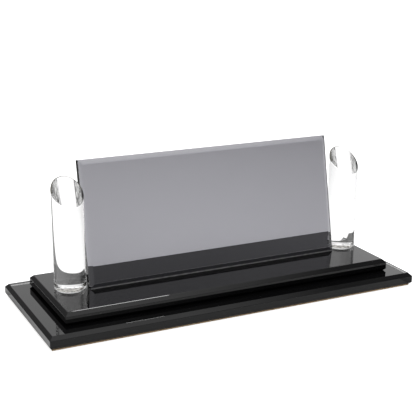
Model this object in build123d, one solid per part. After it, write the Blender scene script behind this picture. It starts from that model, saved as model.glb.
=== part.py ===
from build123d import *
import os
from math import cos, radians, sin, tan

# Desk name plate: two stacked glass plates with black backs, two slant-cut crystal posts
# and a smoked glass plate that leans back between them. Every joint is a glued one.
# Millimetres, +Z up, X along the length, the front faces -Y.
# The origin is the middle of the underside, on the desk.

# Base plates, both cut from the same glass
lower_length = 255.0
lower_width = 98.0
upper_length = 228.0
upper_width = 74.0
base_glass_thickness = 7.7
base_top_bevel = 2.2
base_bottom_bevel = 1.2

# Layers under and between the base plates
pad_thickness = 1.0
pad_margin = 0.3
backing_thickness = 0.15
bond_thickness = 0.15
base_bond_margin = 1.5

# How far the name plate and the posts stand to the right of the base's middle
stand_x = 1.6

# Leaning name plate, bevelled round its front face
plate_length = 178.6
plate_height = 80.5
plate_thickness = 6.0
plate_bevel_width = 3.0
plate_bevel_depth = 1.3
plate_back_arris = 0.4
plate_lean = 11.5
plate_front_y = -6.5
plate_bond_margin = 0.4

# Crystal posts at both ends of the name plate
post_diameter = 20.0
post_height = 71.1
post_slant = 40.0
post_foot_chamfer = 1.2
post_top_arris = 0.6
post_row_y = 1.2
post_gap = 0.45
post_bond_margin = 0.9

# How far every cutting body runs past what it cuts
cut_overrun = 5.0

# Heights of the layers, from the desk up
pad_z = 0.0
lower_backing_z = pad_z + pad_thickness
lower_plate_z = lower_backing_z + backing_thickness
base_bond_z = lower_plate_z + base_glass_thickness
upper_backing_z = base_bond_z + bond_thickness
upper_plate_z = upper_backing_z + backing_thickness
seat_z = upper_plate_z + base_glass_thickness
foot_z = seat_z + bond_thickness

post_radius = post_diameter / 2
post_spread = plate_length / 2 + post_gap + post_radius


def sheet(length, width, thickness, z, x=0.0, y=0.0):
    """A flat rectangular layer, centred on x and y, whose underside is at z."""
    layer = Box(length, width, thickness, align=(Align.CENTER, Align.CENTER, Align.MIN))
    return Pos(x, y, z) * layer


def base_plate(length, width, z):
    """A glass plate with polished bevels round its top and a small chamfer round its bottom."""
    block = sheet(length, width, base_glass_thickness, z)
    top_face = block.faces().sort_by(Axis.Z)[-1]
    block = chamfer(top_face.edges(), base_top_bevel)
    bottom_face = block.faces().sort_by(Axis.Z)[0]
    return chamfer(bottom_face.edges(), base_bottom_bevel)


def backing(length, width, z):
    """A black film that fills the flat underside of a base plate, inside its bottom chamfer."""
    inset = 2 * base_bottom_bevel
    return sheet(length - inset, width - inset, backing_thickness, z)


def base_pad():
    """The thin sheet that keeps the glass off the desk, set in a little from the backing's edges."""
    inset = 2 * (base_bottom_bevel + pad_margin)
    return sheet(lower_length - inset, lower_width - inset, pad_thickness, pad_z)


def base_bond():
    """The glue film between the lower plate and the upper plate's backing."""
    inset = 2 * (base_bottom_bevel + base_bond_margin)
    return sheet(upper_length - inset, upper_width - inset, bond_thickness, base_bond_z)


def name_plate():
    """The leaning plate: bevels round the front, a broken back edge and a foot ground level."""
    block = Box(plate_length, plate_thickness, plate_height, align=(Align.CENTER, Align.MIN, Align.MIN))
    front_face = block.faces().sort_by(Axis.Y)[0]
    block = chamfer(front_face.edges(), plate_bevel_width, plate_bevel_depth, reference=front_face)
    back_face = block.faces().sort_by(Axis.Y)[-1]
    block = chamfer(back_face.edges(), plate_back_arris)
    lean = radians(plate_lean)
    bevel_drop = plate_bevel_depth * sin(lean)
    leaning = Pos(stand_x, plate_front_y, foot_z + bevel_drop) * Rot(-plate_lean, 0, 0) * block
    ground_length = plate_length + 2 * cut_overrun
    ground_width = 2 * (plate_thickness + cut_overrun)
    ground_off = sheet(ground_length, ground_width, cut_overrun, foot_z - cut_overrun, stand_x, plate_front_y)
    return leaning - ground_off


def plate_bond():
    """The glue strip under the name plate's ground foot."""
    lean = radians(plate_lean)
    foot_front = plate_front_y + plate_bevel_depth * cos(lean)
    foot_back = plate_front_y + plate_thickness / cos(lean) - plate_bevel_depth * sin(lean) * tan(lean)
    strip_width = foot_back - foot_front - 2 * plate_bond_margin
    strip_y = (foot_front + foot_back) / 2
    strip_length = plate_length - 2 * plate_bond_margin
    return sheet(strip_length, strip_width, bond_thickness, seat_z, stand_x, strip_y)


def post(x):
    """A crystal rod whose top is cut on a slant that faces the front."""
    rod = Cylinder(post_radius, post_height, align=(Align.CENTER, Align.CENTER, Align.MIN))
    foot_edge = rod.edges().sort_by(Axis.Z)[0]
    rod = chamfer(foot_edge, post_foot_chamfer)
    middle = post_height - post_radius * tan(radians(post_slant))
    slant_size = 2 * (post_diameter + cut_overrun)
    slant_block = Box(slant_size, slant_size, slant_size, align=(Align.CENTER, Align.CENTER, Align.MIN))
    rod = rod - Pos(0, 0, middle) * Rot(post_slant, 0, 0) * slant_block
    rim = rod.edges().filter_by(GeomType.ELLIPSE)
    rod = chamfer(rim, post_top_arris)
    return Pos(x, post_row_y, foot_z) * rod


def post_bond(x):
    """The disc of cured glue under a post's flat foot, short of the foot's edge."""
    glue_radius = post_radius - post_foot_chamfer - post_bond_margin
    disc = Cylinder(glue_radius, bond_thickness, align=(Align.CENTER, Align.CENTER, Align.MIN))
    return Pos(x, post_row_y, seat_z) * disc


pieces = {
    "base_pad": base_pad(),
    "lower_backing": backing(lower_length, lower_width, lower_backing_z),
    "lower_base_plate": base_plate(lower_length, lower_width, lower_plate_z),
    "base_bond": base_bond(),
    "upper_backing": backing(upper_length, upper_width, upper_backing_z),
    "upper_base_plate": base_plate(upper_length, upper_width, upper_plate_z),
    "plate_bond": plate_bond(),
    "name_plate": name_plate(),
}
for side, x in (("left", stand_x - post_spread), ("right", stand_x + post_spread)):
    pieces[side + "_post_bond"] = post_bond(x)
    pieces[side + "_post"] = post(x)

os.makedirs("parts", exist_ok=True)
for name, shape in pieces.items():
    export_step(shape, "parts/" + name + ".step")
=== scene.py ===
from math import cos, pi, radians, sin, tan

import bmesh
import bpy
from mathutils import Matrix, Vector, noise


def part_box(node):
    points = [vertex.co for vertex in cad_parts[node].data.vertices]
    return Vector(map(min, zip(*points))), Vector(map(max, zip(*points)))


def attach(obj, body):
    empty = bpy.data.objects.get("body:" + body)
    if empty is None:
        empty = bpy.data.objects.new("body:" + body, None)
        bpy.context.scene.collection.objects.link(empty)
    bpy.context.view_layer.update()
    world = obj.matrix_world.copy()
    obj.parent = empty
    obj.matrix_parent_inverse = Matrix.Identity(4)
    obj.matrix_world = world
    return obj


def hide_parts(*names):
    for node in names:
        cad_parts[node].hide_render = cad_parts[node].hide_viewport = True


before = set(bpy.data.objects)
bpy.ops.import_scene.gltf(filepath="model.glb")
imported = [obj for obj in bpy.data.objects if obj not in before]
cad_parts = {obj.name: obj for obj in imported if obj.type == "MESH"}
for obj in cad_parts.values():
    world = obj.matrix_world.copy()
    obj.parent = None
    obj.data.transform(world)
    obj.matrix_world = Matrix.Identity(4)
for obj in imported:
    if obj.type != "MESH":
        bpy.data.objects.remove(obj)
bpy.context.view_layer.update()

# Sizes in metres that the CAD boxes do not give
BASE_TOP_BEVEL = 0.0022
BASE_BOTTOM_BEVEL = 0.0012
PLATE_BEVEL_WIDTH = 0.0030
PLATE_BEVEL_DEPTH = 0.0013
PLATE_BACK_ARRIS = 0.0004
PLATE_THICKNESS = 0.0060
PLATE_LEAN = radians(11.5)
POST_SLANT = radians(40)
POST_FOOT_CHAMFER = 0.0012
POST_TOP_ARRIS = 0.0006

# Roundings that a polishing wheel leaves on the sharp edges
BASE_EDGE_ROUND = 0.00022
LOWER_TOP_FACET = 0.00005
UPPER_TOP_FACET = 0.00020
PLATE_EDGE_ROUND = 0.00018
POST_RIM_ROUND = 0.0008
POST_FOOT_ROUND = 0.00015
ROUND_STEPS = 4
POST_SIDES = 192

# Clear strips on the lower plate's top, from their outer edge to their inner one
STRIP_FROM_RIGHT = (0.0034, 0.0051)
STRIP_FROM_BACK = (0.0049, 0.0074)
STRIP_ENDS = (0.0026, 0.0028)

# Crumbly edge of the cork
CORK_GRAIN = 0.0009
CORK_CRUMBLE = 0.0003

# How far films and glue reach into the glass, so that no air is left between them
WETTING = 0.00003

# How far the glue under a post has spread, and the share of its radius that wets the post
GLUE_SPREAD = 0.0006
GLUE_WET_SHARE = 0.66

# Share of the name plate's foot bevel, from its front edge, coloured dark as painted shade where the
# plate meets the base
SHADED_SHARE = 0.78

# Glue squeezed out in front of the name plate's foot, which reaches FOOT_MARGIN past the glue strip
FOOT_MARGIN = 0.0004
BEAD_WIDTH = 0.0005
BEAD_HEIGHT = 0.0008

# Camera fitted to the photo
CAMERA_LENS = 84.118
CAMERA_SENSOR = 36
CAMERA_AZIMUTH = radians(-26.368)
CAMERA_ELEVATION = radians(16.400)
CAMERA_ROLL = radians(0.431)
CAMERA_DISTANCE = 0.63995
CAMERA_TARGET = Vector((-0.00215, 0, 0.05634))

UP = Vector((0, 0, 1))
DOWN = Vector((0, 0, -1))


# Mesh helpers


def rectangle(centre, half_x, half_y, z):
    """Corners of a level rectangle, anticlockwise from above."""
    corners = ((-1, -1), (1, -1), (1, 1), (-1, 1))
    return [Vector((centre.x + sx * half_x, centre.y + sy * half_y, z)) for sx, sy in corners]


def rounded_corner(point, first, second, radius):
    """Points and normals of a small arc from a face with normal first to one with normal second."""
    centre = point - (first + second) * (radius / (1 + first.dot(second)))
    normals = [first.slerp(second, step / ROUND_STEPS) for step in range(ROUND_STEPS + 1)]
    return [(centre + normal * radius, normal) for normal in normals]


def turned(centre, profile):
    """A closed shell round a vertical axis, and its normals. profile gives the points and normals at
    one angle."""
    columns = [profile(2 * pi * side / POST_SIDES) for side in range(POST_SIDES)]
    rows = list(zip(*columns))
    rings = [[centre + point for point, _ in row] for row in rows]
    normals = [normal for row in rows for _, normal in row]
    return skin(rings), normals


def skin(rings):
    """A closed shell through rings of equal length, from the lowest or foremost one."""
    bm = bmesh.new()
    loops = [[bm.verts.new(point) for point in ring] for ring in rings]
    for lower, upper in zip(loops, loops[1:]):
        for here in range(len(lower)):
            there = (here + 1) % len(lower)
            bm.faces.new((lower[here], lower[there], upper[there], upper[here]))
    bm.faces.new(list(reversed(loops[0])))
    bm.faces.new(loops[-1])
    return bm


def round_off(bm, edges, radius):
    bmesh.ops.bevel(
        bm,
        geom=edges,
        offset=radius,
        offset_type="OFFSET",
        segments=ROUND_STEPS,
        profile=0.5,
        affect="EDGES",
        clamp_overlap=True,
    )


def add_object(name, bm, material, normals=None):
    """A flat-faced object or, with one normal for each vertex, a smoothly shaded one."""
    if normals is None:
        bmesh.ops.recalc_face_normals(bm, faces=bm.faces[:])
    for face in bm.faces:
        face.smooth = normals is not None
    mesh = bpy.data.meshes.new(name)
    bm.to_mesh(mesh)
    bm.free()
    if normals is not None:
        mesh.normals_split_custom_set_from_vertices(normals)
    mesh.materials.append(material)
    piece = bpy.data.objects.new(name, mesh)
    bpy.context.scene.collection.objects.link(piece)
    return piece


def add_piece(name, bm, material, node, normals=None):
    piece = add_object(name, bm, material, normals)
    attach(piece, "root")
    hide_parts(node)
    return piece


# Material helpers


def new_material(name):
    material = bpy.data.materials.new(name)
    material.use_nodes = True
    tree = material.node_tree
    return material, tree, tree.nodes["Principled BSDF"]


def noise_field(tree, scale, detail=3.0, roughness=0.55):
    """A noise texture in the object's own metres. scale is in waves per metre."""
    place = tree.nodes.new("ShaderNodeTexCoord")
    texture = tree.nodes.new("ShaderNodeTexNoise")
    texture.inputs["Scale"].default_value = scale
    texture.inputs["Detail"].default_value = detail
    texture.inputs["Roughness"].default_value = roughness
    tree.links.new(place.outputs["Object"], texture.inputs["Vector"])
    return texture.outputs["Fac"]


def remap(tree, value, low, high, to_low, to_high):
    node = tree.nodes.new("ShaderNodeMapRange")
    node.clamp = True
    tree.links.new(value, node.inputs["Value"])
    for name, number in (("From Min", low), ("From Max", high), ("To Min", to_low), ("To Max", to_high)):
        node.inputs[name].default_value = number
    return node.outputs["Result"]


def calculate(tree, operation, first, second):
    node = tree.nodes.new("ShaderNodeMath")
    node.operation = operation
    for socket, value in zip(node.inputs, (first, second)):
        if isinstance(value, (int, float)):
            socket.default_value = value
        else:
            tree.links.new(value, socket)
    return node.outputs["Value"]


def ramp(tree, value, stops):
    """A colour ramp through (position, colour) stops, the first and last of which replace its own two."""
    node = tree.nodes.new("ShaderNodeValToRGB")
    elements = node.color_ramp.elements
    elements[0].position, elements[-1].position = stops[0][0], stops[-1][0]
    for position, _ in stops[1:-1]:
        elements.new(position)
    for element, (_, colour) in zip(elements, stops):
        element.color = (*colour, 1)
    tree.links.new(value, node.inputs["Fac"])
    return node.outputs["Color"]


def add_bump(tree, shader, height, strength, distance):
    node = tree.nodes.new("ShaderNodeBump")
    node.inputs["Strength"].default_value = strength
    node.inputs["Distance"].default_value = distance
    tree.links.new(height, node.inputs["Height"])
    tree.links.new(node.outputs["Normal"], shader.inputs["Normal"])


def glass(name, tint, ior, smudge):
    """Polished glass with faint finger smudges. smudge is the roughness at their middle."""
    material, tree, shader = new_material(name)
    shader.inputs["Base Color"].default_value = (*tint, 1)
    shader.inputs["Transmission Weight"].default_value = 1
    shader.inputs["IOR"].default_value = ior
    smears = noise_field(tree, 38, detail=4.0)
    tree.links.new(remap(tree, smears, 0.52, 0.75, 0, smudge), shader.inputs["Roughness"])
    return material, tree, shader


# Materials

BASE_GLASS_IOR = 1.47
BASE_SMUDGE = 0.05

base_glass, _, _ = glass("base_glass", (0.97, 0.98, 0.98), BASE_GLASS_IOR, BASE_SMUDGE)

# Glass over its black back shows no depth, so there it is a black body with the same polish
backed_glass, tree, shader = new_material("backed_glass")
shader.inputs["IOR"].default_value = BASE_GLASS_IOR
back_grain = noise_field(tree, 900)
back_colours = ((0.3, (0.0025, 0.0025, 0.0027)), (0.7, (0.005, 0.005, 0.0053)))
tree.links.new(ramp(tree, back_grain, back_colours), shader.inputs["Base Color"])
smears = noise_field(tree, 38, detail=4.0)
tree.links.new(remap(tree, smears, 0.52, 0.75, 0, BASE_SMUDGE), shader.inputs["Roughness"])

CRYSTAL_IOR = 1.49
crystal, _, _ = glass("crystal", (0.90, 0.90, 0.90), CRYSTAL_IOR, 0.02)

# The backs of the slant cuts' rims are ground, not polished, and their dark grey colour is painted shade
ground_shaded_crystal, tree, shader = new_material("ground_shaded_crystal")
shader.inputs["IOR"].default_value = CRYSTAL_IOR
rim_grain = noise_field(tree, 1500)
rim_shade_colours = ((0.3, (0.12, 0.115, 0.10)), (0.7, (0.24, 0.23, 0.20)))
tree.links.new(ramp(tree, rim_grain, rim_shade_colours), shader.inputs["Base Color"])
grinding = noise_field(tree, 2500)
tree.links.new(remap(tree, grinding, 0.3, 0.7, 0.5, 0.8), shader.inputs["Roughness"])

smoked_glass, tree, shader = glass("smoked_glass", (0.590, 0.588, 0.611), 1.50, 0.03)
smoke = tree.nodes.new("ShaderNodeVolumeAbsorption")
smoke.inputs["Color"].default_value = (0.300, 0.296, 0.330, 1)
smoke.inputs["Density"].default_value = 175
tree.links.new(smoke.outputs["Volume"], tree.nodes["Material Output"].inputs["Volume"])

# Painted shade: the lower part of the name plate's foot bevel, where it meets the base, is coloured dark
shaded_foot_bevel, tree, shader = new_material("shaded_foot_bevel")
shader.inputs["IOR"].default_value = 1.5
bevel_grain = noise_field(tree, 700)
bevel_shade_colours = ((0.3, (0.045, 0.045, 0.050)), (0.7, (0.065, 0.065, 0.072)))
tree.links.new(ramp(tree, bevel_grain, bevel_shade_colours), shader.inputs["Base Color"])
tree.links.new(remap(tree, bevel_grain, 0.3, 0.7, 0.02, 0.06), shader.inputs["Roughness"])

black_film, tree, shader = new_material("black_film")
shader.inputs["Specular IOR Level"].default_value = 0
shader.inputs["Roughness"].default_value = 0.9
film_grain = noise_field(tree, 900)
film_colours = ((0.3, (0.0015, 0.0015, 0.0017)), (0.7, (0.003, 0.003, 0.0033)))
tree.links.new(ramp(tree, film_grain, film_colours), shader.inputs["Base Color"])

cork, tree, shader = new_material("cork")
shader.inputs["Roughness"].default_value = 0.85
shader.inputs["Specular IOR Level"].default_value = 0.2
cork_grain = noise_field(tree, 1400, detail=5.0)
cork_colours = ((0.30, (0.42, 0.29, 0.17)), (0.55, (0.72, 0.54, 0.35)), (0.75, (0.90, 0.74, 0.54)))
tree.links.new(ramp(tree, cork_grain, cork_colours), shader.inputs["Base Color"])
add_bump(tree, shader, cork_grain, 0.6, 0.0003)

# Bubbles in the glue show silvery through the crystal, and black shows between them
grainy_glue, tree, shader = new_material("grainy_glue")
shader.inputs["Roughness"].default_value = 0.3
shader.inputs["Specular IOR Level"].default_value = 0
glue_grain = noise_field(tree, 520, detail=3.0, roughness=0.7)
glue_colours = ((0.42, (0.08, 0.08, 0.08)), (0.46, (0.84, 0.82, 0.78)), (0.52, (0.98, 0.96, 0.91)))
tree.links.new(ramp(tree, glue_grain, glue_colours), shader.inputs["Base Color"])

# The clear glue that lies over the black backing takes on its black
dark_glue, tree, shader = new_material("dark_glue")
shader.inputs["Roughness"].default_value = 0.3
shader.inputs["Specular IOR Level"].default_value = 0
glue_haze = noise_field(tree, 500)
haze_colours = ((0.3, (0.002, 0.002, 0.002)), (0.7, (0.006, 0.006, 0.006)))
tree.links.new(ramp(tree, glue_haze, haze_colours), shader.inputs["Base Color"])

# Glue that has squeezed out and set looks pale against the black
bead_glue, tree, shader = new_material("bead_glue")
shader.inputs["Roughness"].default_value = 0.25
bead_grain = noise_field(tree, 400)
bead_colours = ((0.3, (0.10, 0.10, 0.105)), (0.7, (0.20, 0.20, 0.205)))
tree.links.new(ramp(tree, bead_grain, bead_colours), shader.inputs["Base Color"])


# Base plates


def base_plate(node, name, top_facet, clear_edges):
    """A bevelled plate. With clear edges, light comes in at its back and right sides and shows in
    narrow strips along the top there."""
    low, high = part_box(node)
    centre = (low + high) / 2
    half = (high - low) / 2
    facet_drop = top_facet * sin(radians(45))
    sections = (
        (BASE_BOTTOM_BEVEL, low.z),
        (0, low.z + BASE_BOTTOM_BEVEL),
        (0, high.z - BASE_TOP_BEVEL),
        (BASE_TOP_BEVEL - facet_drop, high.z - facet_drop),
        (BASE_TOP_BEVEL + top_facet, high.z),
    )
    rings = [rectangle(centre, half.x - inset, half.y - inset, z) for inset, z in sections]
    for end, from_right, from_back in zip(STRIP_ENDS, STRIP_FROM_RIGHT, STRIP_FROM_BACK):
        near = Vector((low.x + end, low.y + end, high.z))
        far = Vector((high.x - from_right, high.y - from_back, high.z))
        middle, reach = (near + far) / 2, (far - near) / 2
        rings.append(rectangle(middle, reach.x, reach.y, high.z))
    bm = skin(rings)
    facet_z = high.z - 1.5 * facet_drop
    sharp = [edge for edge in bm.edges if min(vert.co.z for vert in edge.verts) < facet_z]
    round_off(bm, sharp, BASE_EDGE_ROUND)
    for face in bm.faces:
        middle = face.calc_center_median() - centre
        inset = half - middle
        on_right_strip = STRIP_FROM_RIGHT[0] < inset.x < STRIP_FROM_RIGHT[1]
        on_back_strip = STRIP_FROM_BACK[0] < inset.y < STRIP_FROM_BACK[1]
        on_strip = on_right_strip or on_back_strip
        on_side = min(inset.x, inset.y) < BASE_BOTTOM_BEVEL and inset.z > BASE_TOP_BEVEL
        face.material_index = 1 if clear_edges and (on_strip or on_side) else 0
    piece = add_piece(name, bm, backed_glass, node)
    piece.data.materials.append(base_glass)


base_plate("lower_base_plate", "lower_plate", LOWER_TOP_FACET, True)
base_plate("upper_base_plate", "upper_plate", UPPER_TOP_FACET, False)


# Films and glue


def film(node, name, material, reach_down, reach_up):
    """A thin layer with rounded edges that wets the glass above, below or on both sides."""
    low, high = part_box(node)
    centre = (low + high) / 2
    half = (high - low) / 2
    bottom, top = low.z - reach_down, high.z + reach_up
    lip = (top - bottom) / 3
    sections = ((lip, bottom), (0, bottom + lip), (0, top - lip), (lip, top))
    rings = [rectangle(centre, half.x - inset, half.y - inset, z) for inset, z in sections]
    bm = skin(rings)
    add_piece(name, bm, material, node)


film("lower_backing", "lower_black_back", black_film, 0, WETTING)


def lapped_film(node, name):
    """A black back that is also painted up the plate's bottom chamfer."""
    low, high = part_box(node)
    centre = (low + high) / 2
    half = (high - low) / 2
    lap = BASE_BOTTOM_BEVEL
    paint_top = high.z + lap + 2 * BASE_EDGE_ROUND
    sections = (
        (0, low.z),
        (-lap - WETTING, high.z + lap),
        (-lap - WETTING, paint_top),
        (-lap + WETTING, paint_top),
        (-lap + WETTING, high.z + lap + WETTING),
        (0, high.z + WETTING),
    )
    rings = [rectangle(centre, half.x - inset, half.y - inset, z) for inset, z in sections]
    bm = skin(rings)
    add_piece(name, bm, black_film, node)


lapped_film("upper_backing", "upper_black_back")
film("base_bond", "base_glue", dark_glue, WETTING, 0)
film("plate_bond", "plate_glue", dark_glue, WETTING, WETTING)


def post_glue(node, name):
    """A disc of cured glue with a grainy face. Its middle wets the post and its rim lies just below."""
    low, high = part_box(node)
    centre = (low + high) / 2
    radius = (high.x - low.x) / 2 + GLUE_SPREAD
    half_height = (high.z - low.z) / 2 + WETTING
    rim_height = (high.z - low.z) / 2 - WETTING
    wet_radius = radius * GLUE_WET_SHARE

    def profile(angle):
        outward = Vector((cos(angle), sin(angle), 0))
        rim = half_height / 2
        lower = rounded_corner(outward * radius + DOWN * half_height, DOWN, outward, rim)
        upper = rounded_corner(outward * radius + UP * rim_height, outward, UP, rim)
        step = outward * (wet_radius + WETTING) + UP * rim_height
        middle = outward * wet_radius + UP * half_height
        return lower + upper + [(step, UP), (middle, UP)]

    bm, normals = turned(centre, profile)
    add_piece(name, bm, grainy_glue, node, normals)


def glue_bead(node, name):
    """Glue squeezed out along the front of the name plate's foot, with a hollow face."""
    low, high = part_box(node)
    foot = Vector((0, low.y - FOOT_MARGIN, low.z))
    overhang = BEAD_WIDTH / 2
    outline = ((-BEAD_WIDTH, 0), (0, 0), (-overhang, BEAD_HEIGHT), (-overhang - WETTING, BEAD_HEIGHT / 3))
    rings = []
    for x in (high.x, low.x):
        rings.append([Vector((x, foot.y + y, foot.z + z)) for y, z in outline])
    bm = skin(rings)
    add_piece(name, bm, bead_glue, node)


glue_bead("plate_bond", "plate_glue_bead")
post_glue("left_post_bond", "left_post_glue")
post_glue("right_post_bond", "right_post_glue")


# Cork under the base


def cork_sheet(node, name):
    """A sheet with a crumbly cut edge, which lies up to CORK_CRUMBLE inside its box."""
    low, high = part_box(node)
    centre = (low + high) / 2
    half = (high - low) / 2
    levels = 4
    rings = []
    for level in range(levels):
        z = low.z + (high.z - low.z) * level / (levels - 1)
        corners = rectangle(centre, half.x, half.y, z)
        ring = []
        for start, end in zip(corners, corners[1:] + corners[:1]):
            steps = round((end - start).length / CORK_GRAIN)
            for step in range(steps):
                point = start.lerp(end, step / steps)
                crumble = CORK_CRUMBLE * (0.5 + 0.5 * noise.noise(point / CORK_GRAIN))
                towards_middle = Vector((centre.x - point.x, centre.y - point.y, 0)).normalized()
                ring.append(point + towards_middle * crumble)
        rings.append(ring)
    bm = skin(rings)
    add_piece(name, bm, cork, node)


cork_sheet("base_pad", "cork_pad")


# Name plate


def name_plate(node, name):
    """The leaning plate, built from rings that step back through its thickness."""
    low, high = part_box(node)
    half_length = (high.x - low.x) / 2
    height = (high.z - low.z) / cos(PLATE_LEAN)
    up = Vector((0, sin(PLATE_LEAN), cos(PLATE_LEAN)))
    back = Vector((0, cos(PLATE_LEAN), -sin(PLATE_LEAN)))
    sections = (
        (0, PLATE_BEVEL_WIDTH),
        (PLATE_BEVEL_DEPTH * SHADED_SHARE, PLATE_BEVEL_WIDTH * (1 - SHADED_SHARE)),
        (PLATE_BEVEL_DEPTH, 0),
        (PLATE_THICKNESS - PLATE_BACK_ARRIS, 0),
        (PLATE_THICKNESS, PLATE_BACK_ARRIS),
    )
    start = Vector(((low.x + high.x) / 2, 0, low.z)) - back * PLATE_BEVEL_DEPTH
    rings = []
    for depth, inset in sections:
        ground = max(depth - PLATE_BEVEL_DEPTH, 0) * tan(PLATE_LEAN)
        bottom = max(inset, ground)
        top = height - inset
        ring = []
        for side, rise in ((-1, bottom), (1, bottom), (1, top), (-1, top)):
            sideways = Vector((side * (half_length - inset), 0, 0))
            ring.append(start + sideways + back * depth + up * rise)
        rings.append(ring)
    front_y = min(point.y for ring in rings for point in ring)
    shift = Vector((0, low.y - front_y, 0))
    rings = [[point + shift for point in ring] for ring in rings]
    bm = skin(rings)
    bmesh.ops.recalc_face_normals(bm, faces=bm.faces[:])
    round_off(bm, [edge for edge in bm.edges if edge.calc_face_angle() > radians(1)], PLATE_EDGE_ROUND)
    bmesh.ops.recalc_face_normals(bm, faces=bm.faces[:])
    # The larger downward face of the foot bevel takes the painted shade
    facing_down = [face for face in bm.faces if face.normal.y < 0 and face.normal.z < 0]
    shaded_face = max(facing_down, key=lambda face: face.calc_area())
    shaded_face.material_index = 1
    piece = add_piece(name, bm, smoked_glass, node)
    piece.data.materials.append(shaded_foot_bevel)


name_plate("name_plate", "smoked_plate")


# Posts


def post(node, name):
    """A slant-cut crystal rod with a chamfered foot."""
    low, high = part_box(node)
    radius = (high.x - low.x) / 2
    foot = Vector(((low.x + high.x) / 2, (low.y + high.y) / 2, low.z))
    tip = high.z - low.z + POST_TOP_ARRIS * sin(POST_SLANT)
    middle = tip - radius * tan(POST_SLANT)
    slant = Vector((0, -sin(POST_SLANT), cos(POST_SLANT)))

    def profile(angle):
        outward = Vector((cos(angle), sin(angle), 0))
        chamfer = (outward + DOWN).normalized()
        side = outward * radius
        sole = outward * (radius - POST_FOOT_CHAMFER)
        rise = UP * (side.y * tan(POST_SLANT))
        top = side + UP * middle + rise
        corners = (
            rounded_corner(sole, DOWN, chamfer, POST_FOOT_ROUND),
            rounded_corner(side + UP * POST_FOOT_CHAMFER, chamfer, outward, POST_FOOT_ROUND),
            rounded_corner(top, outward, slant, POST_RIM_ROUND),
        )
        return [place for corner in corners for place in corner]

    bm, normals = turned(foot, profile)
    end_caps = 2
    # The backs of the rims take the ground crystal with its painted shade
    for face in bm.faces[-end_caps - ROUND_STEPS * POST_SIDES:-end_caps]:
        face.material_index = 1 if face.calc_center_median().y > foot.y else 0
    piece = add_piece(name, bm, crystal, node, normals)
    piece.data.materials.append(ground_shaded_crystal)


post("left_post", "left_crystal_post")
post("right_post", "right_crystal_post")


# Floor, world, lamp and camera

FLOOR_HALF = 9.0
SHEET_COLOUR = 0.75
ROOM_COLOUR = 0.20
SHEET_REACH = (0.20, 0.27)
CONTACT_SHADE = 0.015
CONTACT_LINE = 0.002
LAMP_SIZE = (0.42, 0.30)
LAMP_PLACE = (0.185, 0.483, 0.88)
LAMP_LEVEL = 11.0
VIEW_AXIS = Vector((sin(-CAMERA_AZIMUTH), cos(-CAMERA_AZIMUTH), 0))
VIEW_SIDE = Vector((-VIEW_AXIS.y, VIEW_AXIS.x, 0))
FRONT_PANEL = Vector((-0.10, -0.65, 0.75)).normalized()
DARK_WALL = Vector((0.44, -0.90, 0.08)).normalized()
BACKWARD = Vector((0, 1, 0))
LEFTWARD = Vector((-1, 0, 0))


def along(tree, place, direction):
    """How far a place lies along a direction."""
    node = tree.nodes.new("ShaderNodeVectorMath")
    node.operation = "DOT_PRODUCT"
    node.inputs[1].default_value = direction
    tree.links.new(place, node.inputs[0])
    return node.outputs["Value"]


def distance_from(tree, place, point):
    node = tree.nodes.new("ShaderNodeVectorMath")
    node.operation = "DISTANCE"
    node.inputs[1].default_value = point
    tree.links.new(place, node.inputs[0])
    return node.outputs["Value"]


def distance_past(tree, place, half, all_sides):
    """How far a place lies past the sides of a level rectangle of this half size, either past any
    of them or past the back and right ones only."""
    parts = tree.nodes.new("ShaderNodeSeparateXYZ")
    tree.links.new(place, parts.inputs["Vector"])
    past = []
    for socket, reach in (("X", half.x), ("Y", half.y)):
        off_axis = parts.outputs[socket]
        if all_sides:
            off_axis = calculate(tree, "ABSOLUTE", off_axis, 0)
        past.append(calculate(tree, "SUBTRACT", off_axis, reach))
    return calculate(tree, "MAXIMUM", *past)


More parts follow.
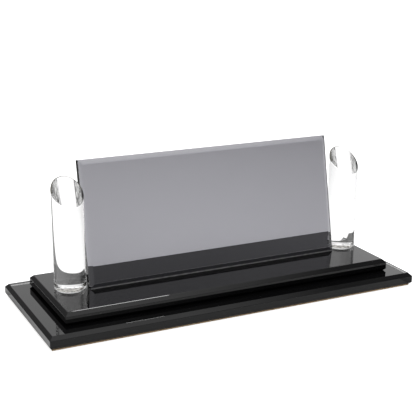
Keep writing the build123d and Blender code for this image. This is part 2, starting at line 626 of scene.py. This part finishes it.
def floor_material():
    """A pale sheet on a darker floor, with a painted shadow in its colour close to the base. Camera,
    mirror and see-through rays also see it glow, so that it looks white behind the object and in the
    glass; that glow holds painted light and shade near the object."""
    material, tree, shader = new_material("floor_paint")
    shader.inputs["Roughness"].default_value = 1
    shader.inputs["Specular IOR Level"].default_value = 0
    shader.inputs["Emission Color"].default_value = (1, 1, 1, 1)
    place = tree.nodes.new("ShaderNodeTexCoord").outputs["Object"]
    low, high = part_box("lower_base_plate")
    half = (high - low) / 2
    on_sheet = remap(tree, along(tree, place, VIEW_SIDE), *SHEET_REACH, 1, 0)
    beside_base = distance_past(tree, place, half, True)
    behind_base = distance_past(tree, place, half, False)
    # in_the_open fades out the glow's painted contact shade over CONTACT_SHADE from the base
    in_the_open = remap(tree, beside_base, 0, CONTACT_SHADE, 0, 1)

    # The colour is darker close behind and right of the base: a painted shadow of the base
    past_back = calculate(tree, "GREATER_THAN", behind_base, 0)
    back_shade = remap(tree, behind_base, 0, CONTACT_SHADE, 0.7, 0)
    paleness = calculate(tree, "SUBTRACT", on_sheet, calculate(tree, "MULTIPLY", past_back, back_shade))
    shades = ((0, (ROOM_COLOUR,) * 3), (1, (SHEET_COLOUR,) * 3))
    tree.links.new(ramp(tree, paleness, shades), shader.inputs["Base Color"])

    # What the camera sees is white, but for a thin soft painted shadow line at the base
    seen = remap(tree, on_sheet, 0, 1, 1, 0.85)
    seen = calculate(tree, "MULTIPLY", seen, remap(tree, beside_base, 0, CONTACT_LINE, 0.95, 1))

    # Painted light: what shows through the glass glows brightest just behind the object, and a painted
    # contact shade dims it close to the base
    through = remap(tree, distance_from(tree, place, (0.05, 0.08, 0)), 0.05, 0.40, 0.62, 0.16)
    through = calculate(tree, "ADD", through, remap(tree, on_sheet, 0, 1, 0.5, 0))
    through = calculate(tree, "MULTIPLY", through, in_the_open)

    # Painted light: what the glass mirrors glows brighter behind the object and at its front left, with
    # painted contact shade close to the base behind
    mirrored = remap(tree, along(tree, place, BACKWARD), -0.06, 0.03, 0, 0.28)
    mirrored = calculate(tree, "MULTIPLY", mirrored, on_sheet)
    mirrored = calculate(tree, "MULTIPLY", mirrored, in_the_open)
    past_left = remap(tree, along(tree, place, LEFTWARD), half.x, half.x + CONTACT_LINE, 0, 1)
    near_front = remap(tree, along(tree, place, BACKWARD), -0.05, 0.02, 0.45, 0)
    mirrored = calculate(tree, "ADD", mirrored, calculate(tree, "MULTIPLY", past_left, near_front))

    # Rays that glass has bent count as glossy ones too, and are taken off those
    path = tree.nodes.new("ShaderNodeLightPath")
    bent = path.outputs["Is Transmission Ray"]
    reflected = calculate(tree, "SUBTRACT", path.outputs["Is Glossy Ray"], bent)
    glow = calculate(tree, "MULTIPLY", path.outputs["Is Camera Ray"], seen)
    glow = calculate(tree, "ADD", glow, calculate(tree, "MULTIPLY", bent, through))
    glow = calculate(tree, "ADD", glow, calculate(tree, "MULTIPLY", reflected, mirrored))
    tree.links.new(glow, shader.inputs["Emission Strength"])
    return material


def add_floor():
    bm = bmesh.new()
    bm.faces.new([bm.verts.new(point) for point in rectangle(Vector(), FLOOR_HALF, FLOOR_HALF, 0)])
    add_object("floor", bm, floor_material())


def light_world():
    """A grey room with a pale backdrop, a ceiling and a panel in front. The camera sees plain white."""
    world = bpy.data.worlds.new("studio")
    bpy.context.scene.world = world
    world.use_nodes = True
    tree = world.node_tree
    path = tree.nodes.new("ShaderNodeLightPath")
    bent = path.outputs["Is Transmission Ray"]
    place = tree.nodes.new("ShaderNodeTexCoord").outputs["Generated"]
    height = along(tree, place, UP)
    ahead = along(tree, place, VIEW_AXIS)

    # The backdrop is brighter to the right
    backdrop = remap(tree, height, 0.41, 0.70, 1, 0)
    backdrop = calculate(tree, "MULTIPLY", backdrop, remap(tree, ahead, 0.68, 0.78, 0, 1))
    sideways = along(tree, place, VIEW_SIDE)
    backdrop = calculate(tree, "MULTIPLY", backdrop, remap(tree, sideways, -0.16, 0.0, 0.90, 0.68))

    ceiling = remap(tree, height, 0.78, 0.86, 0, 0.90)
    front_panel = remap(tree, along(tree, place, FRONT_PANEL), 0.76, 0.84, 0, 0.85)
    walls = remap(tree, along(tree, place, DARK_WALL), 0.85, 0.95, 0.20, 0.03)
    room = calculate(tree, "ADD", backdrop, calculate(tree, "MAXIMUM", ceiling, front_panel))
    room = calculate(tree, "ADD", room, walls)

    # Glass sees more light near the horizon and from the sides, and a little less in all
    horizon = calculate(tree, "MULTIPLY", backdrop, remap(tree, height, 0.05, 0.20, 0.9, 0))
    extra = calculate(tree, "ADD", horizon, remap(tree, ahead, 0.50, 0.75, 0.6, 0))
    room = calculate(tree, "ADD", room, calculate(tree, "MULTIPLY", extra, bent))
    room = calculate(tree, "MULTIPLY", room, remap(tree, bent, 0, 1, 1, 0.78))

    background = tree.nodes["Background"]
    background.inputs["Color"].default_value = (1, 1, 1, 1)
    strength = calculate(tree, "MAXIMUM", room, path.outputs["Is Camera Ray"])
    tree.links.new(strength, background.inputs["Strength"])


def add_lamp():
    """A soft box above and behind the object, aimed at the origin."""
    lamp_data = bpy.data.lights.new("overhead_softbox", "AREA")
    lamp_data.shape = "RECTANGLE"
    lamp_data.size, lamp_data.size_y = LAMP_SIZE
    lamp_data.energy = LAMP_LEVEL * pi * lamp_data.size * lamp_data.size_y
    lamp = bpy.data.objects.new("overhead_softbox", lamp_data)
    lamp.location = LAMP_PLACE
    lamp.rotation_euler = lamp.location.to_track_quat("Z", "Y").to_euler()
    lamp.visible_transmission = False
    bpy.context.scene.collection.objects.link(lamp)


def add_camera():
    camera_data = bpy.data.cameras.new("camera")
    camera_data.sensor_width = CAMERA_SENSOR
    camera_data.lens = CAMERA_LENS
    camera_data.clip_start = 0.01
    camera = bpy.data.objects.new("camera", camera_data)
    towards_eye = Vector((
        sin(CAMERA_AZIMUTH) * cos(CAMERA_ELEVATION),
        -cos(CAMERA_AZIMUTH) * cos(CAMERA_ELEVATION),
        sin(CAMERA_ELEVATION),
    ))
    level_right = Vector((cos(CAMERA_AZIMUTH), sin(CAMERA_AZIMUTH), 0))
    level_up = towards_eye.cross(level_right)
    right = level_right * cos(CAMERA_ROLL) + level_up * sin(CAMERA_ROLL)
    up = level_up * cos(CAMERA_ROLL) - level_right * sin(CAMERA_ROLL)
    turn = Matrix((right, up, towards_eye)).transposed()
    eye = CAMERA_TARGET + towards_eye * CAMERA_DISTANCE
    camera.matrix_world = Matrix.Translation(eye) @ turn.to_4x4()
    bpy.context.scene.collection.objects.link(camera)
    bpy.context.scene.camera = camera


add_floor()
light_world()
add_lamp()
add_camera()
bpy.context.scene.view_settings.view_transform = "Standard"

# Light that is led along inside the posts meets their walls many times
GLASS_BOUNCES = 32
light_paths = bpy.context.scene.cycles
light_paths.max_bounces = GLASS_BOUNCES
light_paths.glossy_bounces = GLASS_BOUNCES
light_paths.transmission_bounces = GLASS_BOUNCES
